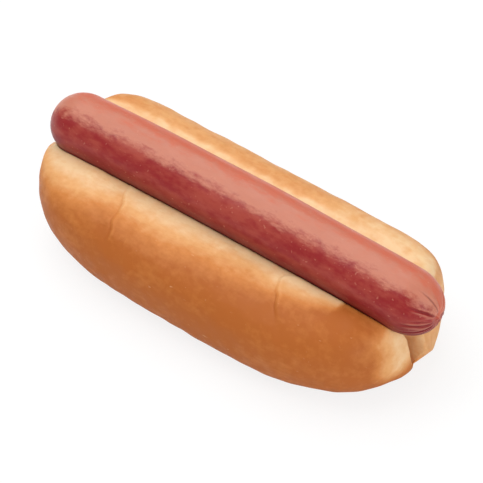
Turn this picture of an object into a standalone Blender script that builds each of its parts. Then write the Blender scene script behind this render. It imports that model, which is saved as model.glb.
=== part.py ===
"""Hot dog: a sausage held in a bun that is slit lengthwise and hinged along its bottom."""
import math

import bpy
import numpy as np

# Frame: metres, +Z up, +X along the length. The wider half of the bun is on the -Y side.
# The origin is the bottom centre of the whole. Sections are drawn with Y = 0 at the slit.
MM = 0.001

# The slit and the sausage lie off the middle, because one half of the bun is wider.
SLIT_OFFSET_Y = 3.3 * MM

# Sausage
SAUSAGE_LENGTH = 155.0 * MM
SAUSAGE_RADIUS = 11.0 * MM
SAUSAGE_CAP_LEFT = 11.5 * MM
SAUSAGE_CAP_RIGHT = 13.0 * MM
SAUSAGE_CENTRE_HEIGHT = 37.1 * MM
SAUSAGE_DROOP = 2.1 * MM
CAP_FULLNESS = 0.9
FOLD_COUNT = 9
FOLD_DEPTH = 0.14
FOLD_REACH = 5.2 * MM
SAUSAGE_SIDES = 36
CAP_RINGS = 9
BODY_RINGS = 17

# Wide half of the bun: a superellipse section
WIDE_CENTRE_Y = -17.4 * MM
WIDE_CENTRE_Z = 16.4 * MM
WIDE_REACH_Y = 18.9 * MM
WIDE_REACH_Z = 16.4 * MM
WIDE_POWER = 2.15
WIDE_RIM_ANGLE = 59.0

# Narrow half of the bun: it stands higher and its ends are blunter
NARROW_CENTRE_Y = 15.5 * MM
NARROW_CENTRE_Z = 18.6 * MM
NARROW_REACH_Y = 14.2 * MM
NARROW_REACH_Z = 18.6 * MM
NARROW_POWER = 2.3
NARROW_RIM_ANGLE = 118.0

# Slit and hinge
HINGE_Y = 0.3 * MM
HINGE_Z = 6.5 * MM
HINGE_FILLET = 1.5 * MM
SLIT_HALF_GAP = 0.6 * MM
SLIT_BULGE = 4.0 * MM
SEAM_OFFSET = 0.1
PRESS_GAP = 0.3 * MM

# How far each strip of crust reaches along X, and how blunt its end is. The strips
# are counted from the wide half's rim (0), under the bottom, to the narrow half's rim (1).
STRIP_KEYS = [0.0, 0.12, 0.28, 0.41, 0.5, 0.62, 0.75, 0.9, 1.0]
REACH_RIGHT_MM = [65.0, 66.8, 69.4, 69.7, 68.5, 72.2, 68.6, 66.4, 65.5]
REACH_LEFT_MM = [70.3, 75.6, 76.2, 71.0, 68.0, 68.5, 70.0, 71.0, 70.0]
BLUNT_RIGHT = [3.6, 4.4, 4.8, 4.8, 8.0, 12.0, 14.0, 12.0, 12.0]
BLUNT_LEFT = [4.5, 4.8, 3.3, 3.4, 8.0, 12.0, 15.0, 17.0, 15.0]
SLIM_SHARE = 0.05
SLIM_CENTRE_X = 54.0 * MM
SLIM_WIDTH = 14.0 * MM
STRIPS = 35
HALF_STATIONS = 20

CRUST_COLOUR = (0.52, 0.22, 0.06, 1.0)
SAUSAGE_COLOUR = (0.38, 0.06, 0.045, 1.0)


def clear_scene():
    for item in list(bpy.data.objects):
        bpy.data.objects.remove(item, do_unlink=True)


def signed_power(values, power):
    return np.sign(values) * np.abs(values) ** power


def lobe_section(centre, reach, power, degrees):
    """Points of a superellipse in Y and Z at angles counted from +Y."""
    angle = np.radians(degrees)
    y = centre[0] + reach[0] * signed_power(np.cos(angle), 2.0 / power)
    z = centre[1] + reach[1] * signed_power(np.sin(angle), 2.0 / power)
    return np.stack([y, z], -1)


def resample(path, where):
    """Points of a polyline at fractions of its length."""
    steps = np.linalg.norm(np.diff(path, axis=0), axis=1)
    length = np.concatenate([[0.0], np.cumsum(steps)])
    length = length / length[-1]
    return np.stack([np.interp(where, length, path[:, k]) for k in range(2)], -1)


def bun_sections():
    """Crust line and slit line of the middle section, both from rim to rim."""
    wide_angles = np.linspace(WIDE_RIM_ANGLE, 270.0, 60)
    narrow_angles = np.linspace(-90.0, NARROW_RIM_ANGLE, 60)
    wide = lobe_section((WIDE_CENTRE_Y, WIDE_CENTRE_Z), (WIDE_REACH_Y, WIDE_REACH_Z),
                        WIDE_POWER, wide_angles)
    narrow = lobe_section((NARROW_CENTRE_Y, NARROW_CENTRE_Z), (NARROW_REACH_Y, NARROW_REACH_Z),
                          NARROW_POWER, narrow_angles)
    crust = np.concatenate([wide, narrow])
    # Both sides of the slit swell, so that the halves nearly close under the sausage.
    swell = SLIT_BULGE * np.sin(np.linspace(0.0, math.pi, 30))
    wide_edge = HINGE_Y - SLIT_HALF_GAP
    narrow_edge = HINGE_Y + SLIT_HALF_GAP
    wide_side = np.linspace(crust[0], [wide_edge, HINGE_Z + HINGE_FILLET], 30)
    narrow_side = np.linspace([narrow_edge, HINGE_Z + HINGE_FILLET], crust[-1], 30)
    wide_side[:, 0] = np.minimum(wide_side[:, 0] + swell, wide_edge)
    narrow_side[:, 0] = np.maximum(narrow_side[:, 0] - swell, narrow_edge)
    slit = np.concatenate([wide_side, [[HINGE_Y, HINGE_Z]], narrow_side])
    even = np.linspace(0.0, 1.0, STRIPS)
    strips = 0.55 * even + 0.45 * (0.5 - 0.5 * np.cos(math.pi * even))
    return resample(crust, strips), resample(slit, strips), strips


def end_stations(reach, blunt):
    """Positions along X of one strip, from the middle to its end, and the section's size there."""
    near_end = 1.0 - 0.4 * (1.0 - np.linspace(0.0, 1.0, 200)) ** 2
    x = np.concatenate([np.linspace(0.0, 0.6, 40)[:-1], near_end])
    size = np.sqrt(np.clip(1.0 - x ** blunt, 0.0, 1.0))
    steps = np.hypot(np.diff(x) * reach, np.diff(size) * WIDE_REACH_Z)
    travelled = np.concatenate([[0.0], np.cumsum(steps)])
    travelled = travelled / travelled[-1]
    even = np.linspace(0.0, 1.0, HALF_STATIONS + 1)
    where = 0.75 * even + 0.25 * np.sin(even * math.pi / 2.0)
    found = np.interp(where, travelled, x)
    return found * reach, np.sqrt(np.clip(1.0 - found ** blunt, 0.0, 1.0))


def press_round_sausage(points):
    """Moves points that would be inside the sausage out to a small gap from its skin."""
    x = points[..., 0]
    half = SAUSAGE_LENGTH / 2.0
    middle = SAUSAGE_CENTRE_HEIGHT - SAUSAGE_DROOP * (x / half) ** 2
    cap = np.where(x < 0.0, SAUSAGE_CAP_LEFT, SAUSAGE_CAP_RIGHT)
    inward = np.clip((half + 2.0 * PRESS_GAP - np.abs(x)) / cap, 0.0, 1.0)
    wanted = (SAUSAGE_RADIUS + PRESS_GAP) * (1.0 - (1.0 - inward) ** 2) ** (CAP_FULLNESS / 2.0)
    y = points[..., 1]
    z = points[..., 2] - middle
    distance = np.hypot(y, z)
    grow = np.where(distance < wanted, wanted / np.maximum(distance, 1e-6), 1.0)
    return np.stack([x, y * grow, middle + z * grow], -1)


def bun_surface():
    """Crust sheet and slit sheet as grids of points: stations along X by strips."""
    crust, slit, strips = bun_sections()
    seam = slit * (1.0 - SEAM_OFFSET) + crust * SEAM_OFFSET
    reach_right = np.interp(strips, STRIP_KEYS, REACH_RIGHT_MM) * MM
    reach_left = np.interp(strips, STRIP_KEYS, REACH_LEFT_MM) * MM
    blunt_right = np.interp(strips, STRIP_KEYS, BLUNT_RIGHT)
    blunt_left = np.interp(strips, STRIP_KEYS, BLUNT_LEFT)
    right = np.array([end_stations(r, b) for r, b in zip(reach_right, blunt_right)])
    left = np.array([end_stations(r, b) for r, b in zip(reach_left, blunt_left)])
    x = np.concatenate([-left[:, 0, ::-1], right[:, 0, 1:]], 1).T
    size = np.concatenate([left[:, 1, ::-1], right[:, 1, 1:]], 1).T
    # The wide half is a little slimmer just before its right end:
    # size * (1 - s exp(-((x - centre) / width)^2)), fading away under the hinge.
    on_wide = np.clip((0.6 - strips) / 0.15, 0.0, 1.0)
    on_wide = on_wide * on_wide * (3.0 - 2.0 * on_wide)
    size = size * (1.0 - SLIM_SHARE * np.exp(-((x - SLIM_CENTRE_X) / SLIM_WIDTH) ** 2) * on_wide[None])

    def sheet(section):
        section_points = seam[None] + size[..., None] * (section - seam)[None]
        return press_round_sausage(np.concatenate([x[..., None], section_points], -1))

    outer = sheet(crust)
    outer[..., 2] = np.maximum(outer[..., 2], 0.0)
    return outer, sheet(slit)


def build_bun():
    outer, inner = bun_surface()
    stations, strips = outer.shape[:2]
    outer_index = np.arange(stations * strips).reshape(stations, strips)
    inner_index = outer_index.copy()
    inner_index[1:-1, 1:-1] = stations * strips + np.arange((stations - 2) * (strips - 2)).reshape(
        stations - 2, strips - 2)
    points = np.concatenate([outer.reshape(-1, 3), inner[1:-1, 1:-1].reshape(-1, 3)])
    crust_faces = np.stack([outer_index[:-1, :-1], outer_index[:-1, 1:],
                            outer_index[1:, 1:], outer_index[1:, :-1]], -1).reshape(-1, 4)
    slit_faces = np.stack([inner_index[:-1, :-1], inner_index[1:, :-1],
                           inner_index[1:, 1:], inner_index[:-1, 1:]], -1).reshape(-1, 4)
    return make_object("bun", points, np.concatenate([crust_faces, slit_faces]).tolist(),
                       "bun crust", CRUST_COLOUR, 0.62)


def sausage_profile():
    """Positions along X and radii from the left tip to the right tip, without the tips."""
    turn = np.linspace(0.0, math.pi / 2.0, CAP_RINGS + 1)[1:]
    grow = np.sin(turn) ** CAP_FULLNESS
    left_x = -SAUSAGE_LENGTH / 2.0 + SAUSAGE_CAP_LEFT * (1.0 - np.cos(turn))
    right_x = SAUSAGE_LENGTH / 2.0 - SAUSAGE_CAP_RIGHT * (1.0 - np.cos(turn))
    body_x = np.linspace(left_x[-1], right_x[-1], BODY_RINGS + 2)[1:-1]
    x = np.concatenate([left_x, body_x, right_x[::-1]])
    radius = SAUSAGE_RADIUS * np.concatenate([grow, np.ones(BODY_RINGS), grow[::-1]])
    return x, radius


def build_sausage():
    x, radius = sausage_profile()
    angle = np.linspace(0.0, 2.0 * math.pi, SAUSAGE_SIDES, endpoint=False)
    tip_distance = SAUSAGE_LENGTH / 2.0 - np.abs(x)
    gathered = np.exp(-(tip_distance / FOLD_REACH) ** 2)
    fold = 1.0 - FOLD_DEPTH * gathered[:, None] * (1.0 - np.cos(FOLD_COUNT * angle)[None])
    around = radius[:, None] * fold
    centre = SAUSAGE_CENTRE_HEIGHT - SAUSAGE_DROOP * (x / (SAUSAGE_LENGTH / 2.0)) ** 2
    ring_x = np.repeat(x[:, None], SAUSAGE_SIDES, 1)
    rings = np.stack([ring_x, around * np.cos(angle), centre[:, None] + around * np.sin(angle)], -1)
    tip_height = SAUSAGE_CENTRE_HEIGHT - SAUSAGE_DROOP
    tips = np.array([[-SAUSAGE_LENGTH / 2.0, 0.0, tip_height], [SAUSAGE_LENGTH / 2.0, 0.0, tip_height]])
    points = np.concatenate([rings.reshape(-1, 3), tips])
    index = np.arange(rings.shape[0] * SAUSAGE_SIDES).reshape(rings.shape[0], SAUSAGE_SIDES)
    after = np.roll(index, -1, axis=1)
    sides = np.stack([index[:-1], after[:-1], after[1:], index[1:]], -1).reshape(-1, 4).tolist()
    left_tip = rings.shape[0] * SAUSAGE_SIDES
    left_fan = [[left_tip, int(b), int(a)] for a, b in zip(index[0], after[0])]
    right_fan = [[left_tip + 1, int(a), int(b)] for a, b in zip(index[-1], after[-1])]
    return make_object("sausage", points, sides + left_fan + right_fan,
                       "sausage skin", SAUSAGE_COLOUR, 0.35)


def make_object(name, points, faces, material_name, colour, roughness):
    mesh = bpy.data.meshes.new(name)
    placed = points + np.array([0.0, SLIT_OFFSET_Y, 0.0])
    mesh.from_pydata(placed.tolist(), [], faces)
    mesh.validate()
    mesh.update()
    material = bpy.data.materials.new(material_name)
    material.use_nodes = True
    shader = material.node_tree.nodes["Principled BSDF"]
    shader.inputs["Base Color"].default_value = colour
    shader.inputs["Roughness"].default_value = roughness
    mesh.materials.append(material)
    item = bpy.data.objects.new(name, mesh)
    bpy.context.scene.collection.objects.link(item)
    return item


clear_scene()
build_bun()
build_sausage()
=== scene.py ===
import math

import bpy
import numpy as np
from mathutils import Matrix, Vector


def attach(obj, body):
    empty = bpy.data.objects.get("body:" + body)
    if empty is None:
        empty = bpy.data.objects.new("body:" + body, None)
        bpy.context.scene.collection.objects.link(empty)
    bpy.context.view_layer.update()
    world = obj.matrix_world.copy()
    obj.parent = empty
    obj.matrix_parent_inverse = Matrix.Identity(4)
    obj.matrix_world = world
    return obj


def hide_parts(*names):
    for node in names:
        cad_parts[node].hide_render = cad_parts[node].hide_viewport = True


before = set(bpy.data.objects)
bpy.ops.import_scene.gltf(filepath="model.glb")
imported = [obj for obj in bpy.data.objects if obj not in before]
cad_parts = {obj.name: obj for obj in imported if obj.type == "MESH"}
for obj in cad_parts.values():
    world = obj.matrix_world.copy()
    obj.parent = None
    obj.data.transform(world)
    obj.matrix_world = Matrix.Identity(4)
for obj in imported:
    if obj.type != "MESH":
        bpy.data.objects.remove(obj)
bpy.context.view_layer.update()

mm = 0.001
slitY = 3.3  # the slit lies this far to +Y of the middle, because the near half is the wider one
print("frame loaded")


def setPoints(name, points, faces):
    # points are in millimetres and drawn with Y = 0 at the slit
    placed = (points + np.array([0.0, slitY, 0.0])) * mm
    mesh = bpy.data.meshes.new(name)
    mesh.from_pydata(placed.tolist(), [], faces)
    mesh.update()
    mesh.polygons.foreach_set("use_smooth", np.ones(len(mesh.polygons), dtype=bool))
    piece = bpy.data.objects.new(name, mesh)
    bpy.context.scene.collection.objects.link(piece)
    return piece


def addValue(piece, name, values):
    made = piece.data.attributes.new(name, "FLOAT", "POINT")
    made.data.foreach_set("value", np.asarray(values, dtype=np.float32).ravel())


def ramp(values, low, high):
    # 0 below low, 1 above high, 3t^2 - 2t^3 between
    t = np.clip((values - low) / (high - low), 0.0, 1.0)
    return t * t * (3.0 - 2.0 * t)


def hump(values, centre, width):
    # exp(-((v - centre) / width)^2)
    return np.exp(-((values - centre) / width) ** 2)


def ripples(points, length, seed, count=14):
    # smooth uneven field of about -1 to 1: a sum of plane waves, all near one length
    rng = np.random.default_rng(seed)
    way = rng.normal(size=(count, 3))
    way /= np.linalg.norm(way, axis=1)[:, None]
    way *= (2.0 * math.pi / length) * rng.uniform(0.6, 1.5, count)[:, None]
    phase = rng.uniform(0.0, 2.0 * math.pi, count)
    return np.sin(points @ way.T + phase).sum(-1) / math.sqrt(count) * 0.9


def sheetNormals(grid, outward):
    # unit normals of a grid of points, turned to the side that outward points to
    normal = np.cross(np.gradient(grid, axis=1), np.gradient(grid, axis=0))
    normal = normal / np.maximum(np.linalg.norm(normal, axis=-1, keepdims=True), 1e-9)
    return normal * np.sign((normal * outward).sum(-1).mean())


# each fold: angle round the sausage in degrees from +Y, reach from the tip, depth, width, turn
sausage = {
    "length": 155.0,
    "radius": 11.0,
    "capLeft": 11.5,
    "capRight": 13.0,
    "height": 37.1,
    "droop": 2.1,
    "fullness": 0.9,
    "sides": 232,
    "capRings": 84,
    "bodyRings": 116,
    # highlightAt is the angle in degrees from +Y of the middle of the painted highlight
    "highlightAt": 94.0,
    "seed": 7,
    "rightFolds": [
        (72, 9.0, 0.30, 0.36, 10),
        (93, 15.0, 0.56, 0.40, 8),
        (110, 7.0, 0.34, 0.34, -6),
        (130, 15.0, 0.66, 0.42, 12),
        (147, 8.0, 0.36, 0.36, 14),
        (161, 13.0, 0.44, 0.40, 8),
        (176, 17.0, 0.64, 0.44, 5),
        (189, 10.0, 0.34, 0.36, -8),
        (203, 16.0, 0.56, 0.44, -3),
        (221, 9.0, 0.38, 0.38, -10),
        (238, 13.5, 0.52, 0.42, -6),
        (262, 9.0, 0.40, 0.40, 10),
        (290, 12.0, 0.50, 0.42, -6),
        (318, 9.0, 0.40, 0.40, 8),
        (345, 12.5, 0.50, 0.42, -8),
        (15, 9.0, 0.40, 0.40, 6),
        (43, 12.0, 0.46, 0.42, -10),
    ],
    "leftFolds": [
        (20, 7.0, 0.30, 0.4, 6),
        (75, 5.5, 0.24, 0.4, -6),
        (128, 5.0, 0.20, 0.4, 8),
        (170, 7.5, 0.30, 0.4, -8),
        (225, 6.5, 0.30, 0.4, 6),
        (275, 7.0, 0.28, 0.4, -6),
        (325, 6.5, 0.30, 0.4, 8),
    ],
}


def foldDepth(angle, radius, reach, folds):
    # each fold is a groove with soft lips that fades away from the tip:
    # depth * (1.45 exp(-(d / w)^2) - 0.45 exp(-(d / 2.4 w)^2)), fading to nothing at its length
    total = np.zeros(np.broadcast_shapes(angle.shape, reach.shape))
    for at, length, depth, width, turn in folds:
        bend = math.radians(at) + math.radians(turn) * reach / length
        away = (angle - bend + math.pi) % (2.0 * math.pi) - math.pi
        distance = away * np.maximum(radius, 0.6)
        groove = 1.45 * hump(distance, 0.0, width) - 0.45 * hump(distance, 0.0, 2.4 * width)
        total = total + depth * groove * ramp(length - reach, 0.0, 0.5 * length) * ramp(radius, 0.2, 2.2)
    return total


def sausagePoints():
    # a round tube, closed by caps of radius R sin(t)^f at c (1 - cos t) from the tip
    turn = np.linspace(0.0, math.pi / 2.0, sausage["capRings"] + 1)[1:]
    grow = np.sin(turn) ** sausage["fullness"]
    half = sausage["length"] / 2.0
    leftX = -half + sausage["capLeft"] * (1.0 - np.cos(turn))
    rightX = half - sausage["capRight"] * (1.0 - np.cos(turn))
    bodyX = np.linspace(leftX[-1], rightX[-1], sausage["bodyRings"] + 2)[1:-1]
    x = np.concatenate([leftX, bodyX, rightX[::-1]])
    radius = sausage["radius"] * np.concatenate([grow, np.ones(len(bodyX)), grow[::-1]])
    travelled = np.concatenate([[0.0], np.cumsum(np.hypot(np.diff(x), np.diff(radius)))])
    reachLeft = travelled[:, None]
    reachRight = (travelled[-1] - travelled)[:, None]
    angle = np.linspace(0.0, 2.0 * math.pi, sausage["sides"], endpoint=False)[None]
    rings = radius[:, None] * np.ones_like(angle)
    flat = np.stack([x[:, None] + 0.0 * angle, rings * np.cos(angle), rings * np.sin(angle)], -1)
    # a hand-filled skin is never a true tube
    body = ramp(reachLeft, 2.0, 14.0) * ramp(reachRight, 2.0, 16.0)
    uneven = -0.10 + 0.09 * ripples(flat * [0.35, 1.0, 1.0], 14.0, sausage["seed"]) * body
    folds = foldDepth(angle, rings, reachRight, sausage["rightFolds"])
    folds = folds + foldDepth(angle, rings, reachLeft, sausage["leftFolds"])
    pucker = 1.0 - 0.05 * hump(reachRight, 0.0, 4.0) - 0.03 * hump(reachLeft, 0.0, 3.0)
    around = rings * pucker + uneven * ramp(rings, 0.0, 8.0) - folds
    # the skin draws in a little round each tip
    x = flat[..., 0] - 0.5 * hump(reachRight, 1.7, 1.2) + 0.3 * hump(reachLeft, 1.6, 1.0)
    centre = sausage["height"] - sausage["droop"] * (x / half) ** 2
    points = np.stack([x, around * np.cos(angle), centre + around * np.sin(angle)], -1)
    return points, folds, angle + 0.0 * rings, np.minimum(reachLeft, reachRight) + 0.0 * rings


def makeSausage():
    rings, folds, angle, endReach = sausagePoints()
    count, sides = rings.shape[:2]
    half = sausage["length"] / 2.0
    tipZ = sausage["height"] - sausage["droop"]
    points = np.concatenate([rings.reshape(-1, 3), [[-half, 0.0, tipZ], [half, 0.0, tipZ]]])
    index = np.arange(count * sides).reshape(count, sides)
    after = np.roll(index, -1, axis=1)
    quads = np.stack([index[:-1], after[:-1], after[1:], index[1:]], -1).reshape(-1, 4).tolist()
    leftTip = np.stack([np.full(sides, count * sides), after[0], index[0]], -1).tolist()
    rightTip = np.stack([np.full(sides, count * sides + 1), index[-1], after[-1]], -1).tolist()
    piece = setPoints("sausageBody", points, quads + leftTip + rightTip)
    # millimetres round the skin from the line that the lamp above catches
    fromLight = (angle - math.radians(sausage["highlightAt"])) * sausage["radius"]
    addValue(piece, "folds", np.append(folds.ravel(), [0.0, 0.0]))
    addValue(piece, "fromLight", np.append(fromLight.ravel(), [9.0, 9.0]))
    addValue(piece, "endReach", np.append(endReach.ravel(), [0.0, 0.0]))
    return piece


# stripKeys count the strips of crust from the near rim (0), under the bottom, to the far rim (1);
# reach is how far a strip runs along X, and blunt how square its end is. Creases cross the near
# crust: places across it, X at those places, height and run of the raised side, groove depth.
# slim is how much thinner the near half is just before its right end, where, and how widely.
bun = {
    "wideCentre": (-17.4, 16.4),
    "wideReach": (18.9, 16.4),
    "widePower": 2.15,
    "wideRim": 59.0,
    "narrowCentre": (15.5, 18.6),
    "narrowReach": (14.2, 18.6),
    "narrowPower": 2.3,
    "narrowRim": 118.0,
    "hinge": (0.3, 6.5),
    "hingeRise": 1.5,
    "slitGap": 0.6,
    "slitBulge": 4.0,
    "seam": 0.1,
    "slim": (0.05, 54.0, 14.0),
    "sausageGap": 0.1,
    "strips": 176,
    "halfStations": 118,
    "seed": 21,
    "stripKeys": [0.0, 0.12, 0.28, 0.41, 0.5, 0.62, 0.75, 0.9, 1.0],
    "reachRight": [65.0, 66.8, 69.4, 69.7, 68.5, 72.2, 68.6, 66.4, 65.5],
    "bluntRight": [3.6, 4.4, 4.8, 4.8, 8.0, 12.0, 14.0, 12.0, 12.0],
    "reachLeft": [70.3, 75.6, 76.2, 71.0, 68.0, 68.5, 70.0, 71.0, 70.0],
    "bluntLeft": [4.5, 4.8, 3.3, 3.4, 8.0, 12.0, 15.0, 17.0, 15.0],
    "creases": [
        {"across": (2, 4, 9, 12, 17, 22, 27), "x": (-40.0, -39, -37.7, -35.7, -34.5, -33.2, -33.6),
         "raise": 0.42, "run": 5.0, "groove": 0.16},
        {"across": (22, 24, 27), "x": (-27.2, -27.6, -28.4),
         "raise": 0.18, "run": 3.0, "groove": 0.10},
        {"across": (3, 6, 8.5, 10.5, 14.3, 20, 23), "x": (29.0, 26.2, 25.3, 26.1, 28.6, 32.0, 34.4),
         "raise": 0.70, "run": 7.0, "groove": 0.16},
        {"across": (0, 3, 6.5, 8), "x": (47.3, 47.8, 48.3, 48.5),
         "raise": -0.35, "run": 4.0, "groove": 0.30},
    ],
}


def lobe(centre, reach, power, degrees):
    # superellipse: |y / a|^p + |z / b|^p = 1
    angle = np.radians(degrees)
    y = centre[0] + reach[0] * np.sign(np.cos(angle)) * np.abs(np.cos(angle)) ** (2.0 / power)
    z = centre[1] + reach[1] * np.sign(np.sin(angle)) * np.abs(np.sin(angle)) ** (2.0 / power)
    return np.stack([y, z], -1)


def along(path, where):
    # points of a line of points at fractions of its length
    length = np.concatenate([[0.0], np.cumsum(np.linalg.norm(np.diff(path, axis=0), axis=1))])
    return np.stack([np.interp(where * length[-1], length, path[:, k]) for k in range(2)], -1)


def spread(share, count):
    # count places from 0 to 1 that lie closer together where share is larger
    place = np.linspace(0.0, 1.0, len(share))
    travelled = np.concatenate([[0.0], np.cumsum(share[1:])])
    return np.interp(np.linspace(0.0, 1.0, count), travelled / travelled[-1], place)


def bunSections():
    # crust line and slit line of the middle section, both from rim to rim
    wide = lobe(bun["wideCentre"], bun["wideReach"], bun["widePower"],
                np.linspace(bun["wideRim"], 270.0, 200))
    narrow = lobe(bun["narrowCentre"], bun["narrowReach"], bun["narrowPower"],
                  np.linspace(-90.0, bun["narrowRim"], 200))
    crust = np.concatenate([wide, narrow])
    y, z = bun["hinge"]
    # each side of the slit swells by b sin(pi t), so that the halves close up under the sausage
    swell = bun["slitBulge"] * np.sin(np.linspace(0.0, math.pi, 60))
    foot = z + bun["hingeRise"]
    near = np.linspace(crust[0], [y - bun["slitGap"], foot], 60)
    far = np.linspace([y + bun["slitGap"], foot], crust[-1], 60)
    near[:, 0] = np.minimum(near[:, 0] + swell, y - bun["slitGap"])
    far[:, 0] = np.maximum(far[:, 0] - swell, y + bun["slitGap"])
    slit = np.concatenate([near, [[y, z]], far])
    fine = np.linspace(0.0, 1.0, 600)
    strips = spread(1.0 + 1.1 * hump(fine, 0.0, 0.28) + 0.9 * hump(fine, 1.0, 0.18), bun["strips"])
    total = np.linalg.norm(np.diff(crust, axis=0), axis=1).sum()
    return along(crust, strips), along(slit, strips), strips, strips * total


def endStations(strips, reachKeys, bluntKeys, fineAt):
    # X and size of the sections along each strip, from the middle to its end:
    # size = sqrt(1 - (x / reach)^blunt), with more sections round the places in fineAt
    fine = np.linspace(0.0, 1.0, 800)
    close = 1.0 + 0.5 * hump(fine, 1.0, 0.15) + sum(2.2 * hump(fine, at, 0.035) for at in fineAt)
    share = spread(close, bun["halfStations"] + 1)
    nearTip = 1.0 - 0.4 * (1.0 - np.linspace(0.0, 1.0, 400)) ** 2
    x = np.concatenate([np.linspace(0.0, 0.6, 60)[:-1], nearTip])
    made = []
    for reach, blunt in zip(np.interp(strips, bun["stripKeys"], reachKeys),
                            np.interp(strips, bun["stripKeys"], bluntKeys)):
        size = np.sqrt(np.clip(1.0 - x ** blunt, 0.0, 1.0))
        travelled = np.concatenate([[0.0], np.cumsum(np.hypot(np.diff(x) * reach, np.diff(size) * 16.0))])
        found = np.interp(share * travelled[-1], travelled, x)
        made.append((found * reach, np.sqrt(np.clip(1.0 - found ** blunt, 0.0, 1.0))))
    return np.array(made)


def pressRoundSausage(points, gap):
    # points inside the sausage move straight out to a small gap from its skin
    x = points[..., 0]
    half = sausage["length"] / 2.0
    middle = sausage["height"] - sausage["droop"] * (x / half) ** 2
    cap = np.where(x < 0.0, sausage["capLeft"], sausage["capRight"])
    inward = np.clip((half + gap - np.abs(x)) / cap, 0.0, 1.0)
    wanted = (sausage["radius"] + gap) * (1.0 - (1.0 - inward) ** 2) ** (sausage["fullness"] / 2.0)
    y = points[..., 1]
    z = points[..., 2] - middle
    distance = np.hypot(y, z)
    grow = np.where(distance < wanted, wanted / np.maximum(distance, 1e-6), 1.0)
    return np.stack([x, y * grow, middle + z * grow], -1)


def bunGrids():
    crust, slit, strips, across = bunSections()
    seam = slit * (1.0 - bun["seam"]) + crust * bun["seam"]
    right = endStations(strips, bun["reachRight"], bun["bluntRight"], [0.33, 0.39, 0.6])
    left = endStations(strips, bun["reachLeft"], bun["bluntLeft"], [0.42, 0.46])
    x = np.concatenate([-left[:, 0, ::-1], right[:, 0, 1:]], 1).T
    size = np.concatenate([left[:, 1, ::-1], right[:, 1, 1:]], 1).T
    # the near half thins a little: size * (1 - share exp(-((x - place) / width)^2))
    share, place, width = bun["slim"]
    slim = 1.0 - share * hump(x, place, width) * ramp(-strips, -0.6, -0.45)[None]
    scale = (slim * size)[..., None]

    def sheet(section):
        return np.concatenate([x[..., None], seam[None] + scale * (section - seam)[None]], -1)

    return sheet(crust), sheet(slit), size, np.repeat(across[None], len(x), 0)


def creaseShape(points, across):
    # beside each line: a groove g exp(-(d / 0.6)^2), a lip, and a shoulder r exp(-d / run)
    # on the side where d > 0; all die away at the line's two ends
    height = np.zeros_like(across)
    line = np.zeros_like(across)
    x = points[..., 0] + 0.35 * ripples(points, 5.0, bun["seed"] + 2)
    uneven = 0.75 + 0.35 * ripples(points, 8.0, bun["seed"] + 3)
    for crease in bun["creases"]:
        places = crease["across"]
        away = x - np.interp(across, places, crease["x"])
        fade = ramp(across, places[0] - 1.0, places[0] + 1.5) * ramp(places[-1] - across, -2.0, 5.0)
        shoulder = crease["raise"] * ramp(away, -0.5, 0.9)
        shoulder = shoulder * np.exp(-np.maximum(away, 0.0) / crease["run"])
        height = height + fade * (shoulder - crease["groove"] * hump(away, 0.0, 0.6))
        height = height + fade * 0.4 * crease["groove"] * hump(away, 1.2, 0.7)
        # line is a painted shade and highlight map: high along each groove, low along its lip
        line = line + fade * uneven * (hump(away, -0.1, 0.5) - 0.8 * hump(away, 1.3, 0.9))
    return height, line


def bakeOf(points, across, size):
    # how brown the crust is, from 0 at the pale strips beside the slit to 1
    x = points[..., 0]
    far = across[0, -1] - across
    keys = [-74, -50, -39, -30, -10, 10, 26, 38, 47, 49, 74]
    paleWidth = np.interp(x, keys, [9, 7, 5, 5, 4, 3, 5, 4, 3, -9, -9])
    brownWidth = np.interp(x, keys, [36, 30, 25, 27, 26, 23, 21, 19, 15, 9, 12])
    uneven = ripples(points, 9.0, bun["seed"] + 4)
    nearBake = 0.03 + 0.97 * ramp(across, paleWidth, brownWidth)
    toRight = ramp(x, 8.0, 42.0)
    farBake = (0.42 - 0.34 * toRight) * ramp(far, 6.4 + 0.9 * uneven, 10.0) + 0.3 * ramp(far, 20.0, 40.0)
    farBake = farBake + 0.04 + 0.14 * toRight * ramp(uneven, 0.0, 0.8) * ramp(far, 3.0, 7.0)
    farBake = farBake + 0.26 * toRight * ramp(far, 13.0, 20.0)
    side = ramp(across, 0.38 * across[0, -1], 0.62 * across[0, -1])
    bake = nearBake * (1.0 - side) + farBake * side
    nearEnd = ramp(0.62 - size + 0.05 * uneven, 0.0, 0.5) * ramp(x, 40.0, 60.0)
    nearEnd = nearEnd * ramp(72.0 - across, 0.0, 30.0)
    farEnd = ramp(x, 56.0, 62.0) * ramp(far, 5.0, 8.0) * ramp(22.0 - far, 0.0, 8.0)
    lowEnd = ramp(x, 60.0, 66.0) * ramp(far, 18.0, 30.0) * side
    paler = (1.0 - 0.88 * nearEnd) * (1.0 - 0.8 * farEnd) * (1.0 - 0.5 * lowEnd)
    return np.clip(bake * paler, 0.0, 1.0)


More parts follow.
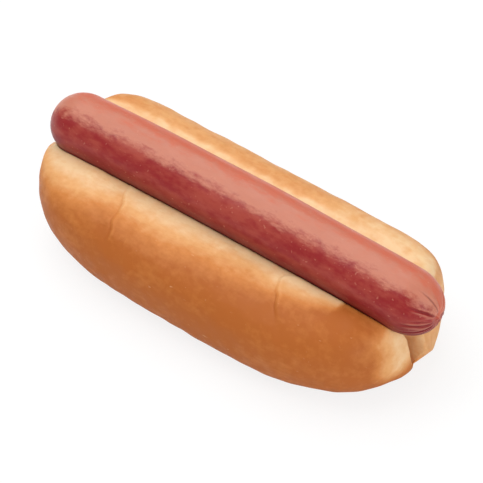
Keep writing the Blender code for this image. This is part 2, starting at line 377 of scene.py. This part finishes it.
def makeBun():
    outer, inner, size, across = bunGrids()
    normal = sheetNormals(outer, outer - np.array([0.0, 0.0, 14.0]))
    fade = ramp(size, 0.0, 0.5) * ramp(across, 0.0, 3.0) * ramp(across[0, -1] - across, 0.0, 3.0)
    lumps = 0.18 * ripples(outer, 26.0, bun["seed"]) + 0.10 * ripples(outer, 9.0, bun["seed"] + 1)
    height, line = creaseShape(outer, across)
    bake = bakeOf(outer, across, size)
    outer = outer + normal * ((lumps - 0.15 + height) * fade)[..., None]
    outer[..., 2] = np.maximum(outer[..., 2], 0.0)
    outer = pressRoundSausage(outer, bun["sausageGap"])
    inner = pressRoundSausage(inner, bun["sausageGap"])
    # the crust and the slit share their edge points, so the loaf is closed
    stations, count = outer.shape[:2]
    crustIndex = np.arange(stations * count).reshape(stations, count)
    slitIndex = crustIndex.copy()
    hidden = np.arange((stations - 2) * (count - 2)).reshape(stations - 2, -1)
    slitIndex[1:-1, 1:-1] = stations * count + hidden
    points = np.concatenate([outer.reshape(-1, 3), inner[1:-1, 1:-1].reshape(-1, 3)])
    a, b = crustIndex, slitIndex
    crustFaces = np.stack([a[:-1, :-1], a[:-1, 1:], a[1:, 1:], a[1:, :-1]], -1).reshape(-1, 4)
    slitFaces = np.stack([b[:-1, :-1], b[1:, :-1], b[1:, 1:], b[:-1, 1:]], -1).reshape(-1, 4)
    piece = setPoints("bunBread", points, np.concatenate([crustFaces, slitFaces]).tolist())
    inside = np.zeros((stations - 2) * (count - 2))
    # the cut faces turn to soft pale crust at both ends
    cut = 1.0 - 0.85 * ramp(np.abs(inner[1:-1, 1:-1, 0]), 58.0, 65.0)
    addValue(piece, "cut", np.append(np.zeros(stations * count), cut.ravel()))
    addValue(piece, "bake", np.append(bake.ravel(), inside + 0.3))
    addValue(piece, "crease", np.append(line.ravel(), inside))
    return piece


class Socket:
    # a shader socket that can stand in sums, products and powers
    def __init__(self, graph, port):
        self.graph = graph
        self.port = port

    def maths(self, operation, first, second=None):
        return self.graph.node("ShaderNodeMath", {"operation": operation}, {0: first, 1: second})

    def __add__(self, other):
        return self.maths("ADD", self, other)

    def __radd__(self, other):
        return self.maths("ADD", other, self)

    def __sub__(self, other):
        return self.maths("SUBTRACT", self, other)

    def __rsub__(self, other):
        return self.maths("SUBTRACT", other, self)

    def __mul__(self, other):
        return self.maths("MULTIPLY", self, other)

    def __rmul__(self, other):
        return self.maths("MULTIPLY", other, self)

    def __truediv__(self, other):
        return self.maths("DIVIDE", self, other)

    def __pow__(self, other):
        return self.maths("POWER", self, other)


class Graph:
    def __init__(self, name):
        self.material = bpy.data.materials.new(name)
        self.material.use_nodes = True
        self.tree = self.material.node_tree
        self.tree.nodes.clear()

    def node(self, kind, settings=None, values=None, out=0):
        made = self.tree.nodes.new(kind)
        for name, value in (settings or {}).items():
            if name == "stops":
                while len(made.color_ramp.elements) < len(value):
                    made.color_ramp.elements.new(1.0)
                for element, (position, colour) in zip(made.color_ramp.elements, value):
                    element.position = position
                    element.color = (*colour, 1.0)
            else:
                setattr(made, name, value)
        for key, value in (values or {}).items():
            if value is None:
                continue
            if isinstance(value, Socket):
                self.tree.links.new(value.port, made.inputs[key])
            else:
                made.inputs[key].default_value = value
        return Socket(self, made.outputs[out]) if made.outputs else None

    def place(self):
        return self.node("ShaderNodeTexCoord", out=3)

    def value(self, name):
        return self.node("ShaderNodeAttribute", {"attribute_name": name}, out=2)

    def noise(self, where, size, detail=2.0, roughness=0.5, out=0):
        # size is the width of one blob in millimetres
        return self.node("ShaderNodeTexNoise", None, {"Vector": where, "Scale": 1.0 / (size * mm),
                                                      "Detail": detail, "Roughness": roughness}, out)

    def ramped(self, value, low, high, start=0.0, end=1.0):
        return self.node("ShaderNodeMapRange", {"interpolation_type": "SMOOTHSTEP"},
                         {0: value, 1: low, 2: high, 3: start, 4: end})

    def blend(self, factor, first, second):
        return self.node("ShaderNodeMix", {"data_type": "RGBA"}, {0: factor, 6: first, 7: second}, out=2)

    def surface(self, values):
        shader = self.node("ShaderNodeBsdfPrincipled", None, values)
        self.node("ShaderNodeOutputMaterial", None, {0: shader})
        return self.material


def linear(red, green, blue):
    # the usual screen colour, 0 to 255, as the shader's linear light
    scaled = np.array([red, green, blue]) / 255.0
    low = scaled / 12.92
    high = ((scaled + 0.055) / 1.055) ** 2.4
    return tuple(float(v) for v in np.where(scaled <= 0.04045, low, high))


def opaque(colour):
    return (*colour, 1.0)


breadColours = {
    "pale": linear(246, 208, 160),
    "tan": linear(234, 174, 114),
    "golden": linear(214, 136, 70),
    "brown": linear(184, 102, 42),
    "fleck": linear(246, 206, 156),
    "crumb": linear(248, 224, 186),
    "paintedCrumbShade": linear(232, 190, 146),
}


def crustMaterial():
    g = Graph("bakedCrust")
    place = g.place()
    bake = g.value("bake")
    cut = g.value("cut")
    crease = g.value("crease")
    drawn = g.node("ShaderNodeMapping", None, {0: place, 3: (0.45, 1.0, 1.0)})
    cloudy = g.noise(drawn, 11.0, 3.0)
    mottle = g.noise(place, 3.5, 4.0, 0.6)
    streaks = g.noise(drawn, 1.4, 3.0, 0.6)
    baked = bake + (cloudy - 0.5) * 0.42 + (mottle - 0.5) * 0.4 + (streaks - 0.5) * 0.2
    # painted shade: browner in the crease grooves; painted highlight: paler on their lips
    baked = baked + g.ramped(crease, 0.15, 0.9) * 0.16 - g.ramped(crease, -0.1, -0.8) * 0.12
    stops = [(0.0, breadColours["pale"]), (0.3, breadColours["tan"]),
             (0.62, breadColours["golden"]), (1.0, breadColours["brown"])]
    colour = g.node("ShaderNodeValToRGB", {"stops": stops}, {0: baked})
    # a few pale flecks, thicker in some places than in others
    flecks = g.ramped(g.noise(drawn, 0.9, 1.0), 0.71, 0.8) * g.ramped(mottle, 0.45, 0.65)
    colour = g.blend(flecks * 0.35, colour, opaque(breadColours["fleck"]))
    # painted shade: the cut crumb is darker in the hollows of its pores
    pores = g.ramped(g.noise(place, 1.1, 2.0), 0.35, 0.6)
    crumb = g.blend(pores, opaque(breadColours["paintedCrumbShade"]), opaque(breadColours["crumb"]))
    colour = g.blend(cut, colour, crumb)
    skin = g.node("ShaderNodeBump", None, {"Strength": 0.3, "Distance": 0.3 * mm,
                                           "Height": streaks + mottle})
    bump = g.node("ShaderNodeBump", None, {"Strength": 0.5, "Distance": 0.4 * mm, "Height": cut * pores,
                                           "Normal": skin})
    return g.surface({
        "Base Color": colour,
        "Roughness": 0.5 + (mottle - 0.5) * 0.3 + cut * 0.3,
        "Normal": bump,
        "Specular IOR Level": 0.2,
        "Subsurface Weight": 0.2,
        "Subsurface Radius": (1.0, 0.6, 0.35),
        "Subsurface Scale": 0.003,
    })


skinColours = {
    "deep": linear(153, 41, 42),
    "rosy": linear(174, 74, 61),
    "under": linear(116, 6, 28),
    "paintedHighlight": linear(214, 142, 116),
    "paintedLitCoral": linear(212, 102, 74),
    "fold": linear(116, 28, 30),
}


def skinMaterial():
    g = Graph("sausageSkin")
    place = g.place()
    folds = g.value("folds")
    drawn = g.node("ShaderNodeMapping", None, {0: place, 3: (0.45, 1.0, 1.0)})
    cloudy = g.noise(drawn, 9.0, 3.0)
    mottle = g.noise(drawn, 2.2, 4.0, 0.6)
    ragged = g.noise(drawn, 3.2, 6.0, 0.68)
    mixed = g.ramped(cloudy * 0.5 + mottle * 0.5, 0.38, 0.62)
    colour = g.blend(mixed, opaque(skinColours["deep"]), opaque(skinColours["rosy"]))
    # painted shade: the lower skin, towards the bun, is darkened to a deep crimson
    below = g.ramped(g.value("fromLight"), 12.0, 22.0)
    colour = g.blend(below * 0.82, colour, opaque(skinColours["under"]))
    # painted highlight: a paler pink band along the upper skin where the lamp above catches it, with a
    # ragged edge towards the near side
    fromLight = g.value("fromLight") + (ragged - 0.5) * 13.0 + (cloudy - 0.5) * 4.0
    colour = g.blend(g.ramped(fromLight, 7.6, 3.0) * 0.76, colour, opaque(skinColours["paintedHighlight"]))
    # painted light: the upper and back skin beyond the highlight is turned a lighter coral, as if lit
    # from above
    colour = g.blend(g.ramped(fromLight, 0.5, -6.0) * 0.75, colour, opaque(skinColours["paintedLitCoral"]))
    specks = g.ramped(g.noise(place, 0.9, 0.0), 0.76, 0.82)
    # pale specks in the painted highlight's colour
    colour = g.blend(specks * 0.35, colour, opaque(skinColours["paintedHighlight"]))
    # painted light: the skin is made paler round both tips, to lift the shade in their puckered hollows
    paintedTipLight = g.ramped(g.value("endReach"), 5.0, 1.0)
    colour = g.blend(paintedTipLight * 0.5, colour, opaque(skinColours["paintedLitCoral"]))
    # painted highlight on the lips of the tip folds, and painted shade in their grooves
    colour = g.blend(g.ramped(folds, -0.02, -0.12) * 0.4, colour, opaque(skinColours["paintedHighlight"]))
    colour = g.blend(g.ramped(folds, 0.08, 0.5) * 0.42, colour, opaque(skinColours["fold"]))
    wet = g.ramped(ragged, 0.42, 0.58)
    bump = g.node("ShaderNodeBump", None, {"Strength": 0.4, "Distance": 0.5 * mm, "Height": ragged})
    return g.surface({
        "Base Color": colour,
        "Roughness": 0.44 - wet * 0.1 + (mottle - 0.5) * 0.1,
        "Normal": bump,
        "Specular IOR Level": 0.22,
        "Coat Weight": 0.03 + wet * 0.16,
        "Coat IOR": 1.35,
        "Coat Roughness": 0.25,
        "Subsurface Weight": 0.12,
        "Subsurface Radius": (1.0, 0.4, 0.3),
        "Subsurface Scale": 0.002,
    })


view = {
    "azimuth": 36.7,
    "elevation": 47.0,
    "distance": 1.1,
    "lens": 251.7,
    "target": (0.0, 3.3, 36.0),
    "right": -0.55,
    "down": 10.3,
}

lamps = {
    "top": {"place": (-0.38, 0.15, 0.91), "size": (0.7, 1.5), "power": 8.0},
    "right": {"place": (0.9, -0.25, 0.45), "size": (0.6, 0.8), "power": 4.2},
    "front": {"place": (-0.25, -0.42, 0.85), "size": (1.0, 0.6), "power": 1.7},
    "fill": 0.3,
}


def makeFloor():
    mesh = bpy.data.meshes.new("tableTop")
    side = 3.0
    corners = [(-side, -side, 0.0), (side, -side, 0.0), (side, side, 0.0), (-side, side, 0.0)]
    mesh.from_pydata(corners, [], [(0, 1, 2, 3)])
    floor = bpy.data.objects.new("tableTop", mesh)
    bpy.context.scene.collection.objects.link(floor)
    g = Graph("paleTable")
    seen = g.node("ShaderNodeLightPath")
    matt = g.node("ShaderNodeBsdfDiffuse", None, {"Color": (0.9, 0.9, 0.9, 1.0)})
    glow = g.node("ShaderNodeEmission", None, {"Color": (1.0, 1.0, 1.0, 1.0), "Strength": 1.05})
    both = g.node("ShaderNodeMixShader", None, {0: seen * 0.78, 1: matt, 2: glow})
    g.node("ShaderNodeOutputMaterial", None, {0: both})
    mesh.materials.append(g.material)


def makeLamp(name, place, size, power):
    data = bpy.data.lights.new(name, "AREA")
    data.shape = "RECTANGLE"
    data.size, data.size_y = size
    data.energy = power
    lamp = bpy.data.objects.new(name, data)
    # the lamp faces the food, and its first side lies along X as nearly as it can
    back = Vector(place).normalized()
    side = (Vector((1.0, 0.0, 0.0)) - back * back.x).normalized()
    lamp.matrix_world = Matrix((side, back.cross(side), back)).transposed().to_4x4()
    lamp.location = place
    bpy.context.scene.collection.objects.link(lamp)


def makeLight():
    makeLamp("topLamp", **lamps["top"])
    makeLamp("rightLamp", **lamps["right"])
    makeLamp("frontLamp", **lamps["front"])
    world = bpy.data.worlds.new("room")
    world.use_nodes = True
    nodes = world.node_tree.nodes
    links = world.node_tree.links
    nodes.clear()
    path = nodes.new("ShaderNodeLightPath")
    background = nodes.new("ShaderNodeBackground")
    seen = nodes.new("ShaderNodeMapRange")
    seen.inputs[3].default_value = lamps["fill"]
    seen.inputs[4].default_value = 1.0
    out = nodes.new("ShaderNodeOutputWorld")
    links.new(path.outputs["Is Camera Ray"], seen.inputs[0])
    links.new(seen.outputs[0], background.inputs["Strength"])
    background.inputs["Color"].default_value = (1.0, 1.0, 1.0, 1.0)
    links.new(background.outputs[0], out.inputs[0])
    bpy.context.scene.world = world


def makeCamera():
    a = math.radians(view["azimuth"])
    e = math.radians(view["elevation"])
    back = Vector((math.sin(a) * math.cos(e), -math.cos(a) * math.cos(e), math.sin(e)))
    right = Vector((math.cos(a), math.sin(a), 0.0))
    up = back.cross(right)
    aim = Vector(view["target"]) + right * view["right"] - up * view["down"]
    data = bpy.data.cameras.new("camera")
    data.lens = view["lens"]
    data.clip_start = 0.05
    camera = bpy.data.objects.new("camera", data)
    camera.matrix_world = Matrix((right, up, back)).transposed().to_4x4()
    camera.location = aim * mm + back * view["distance"]
    bpy.context.scene.collection.objects.link(camera)
    bpy.context.scene.camera = camera


bunPiece = makeBun()
bunPiece.data.materials.append(crustMaterial())
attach(bunPiece, "root")
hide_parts("bun")
print("bun made")

sausagePiece = makeSausage()
sausagePiece.data.materials.append(skinMaterial())
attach(sausagePiece, "root")
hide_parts("sausage")
print("sausage made")

makeFloor()
makeLight()
makeCamera()
bpy.context.scene.view_settings.view_transform = "Standard"
print("room made")
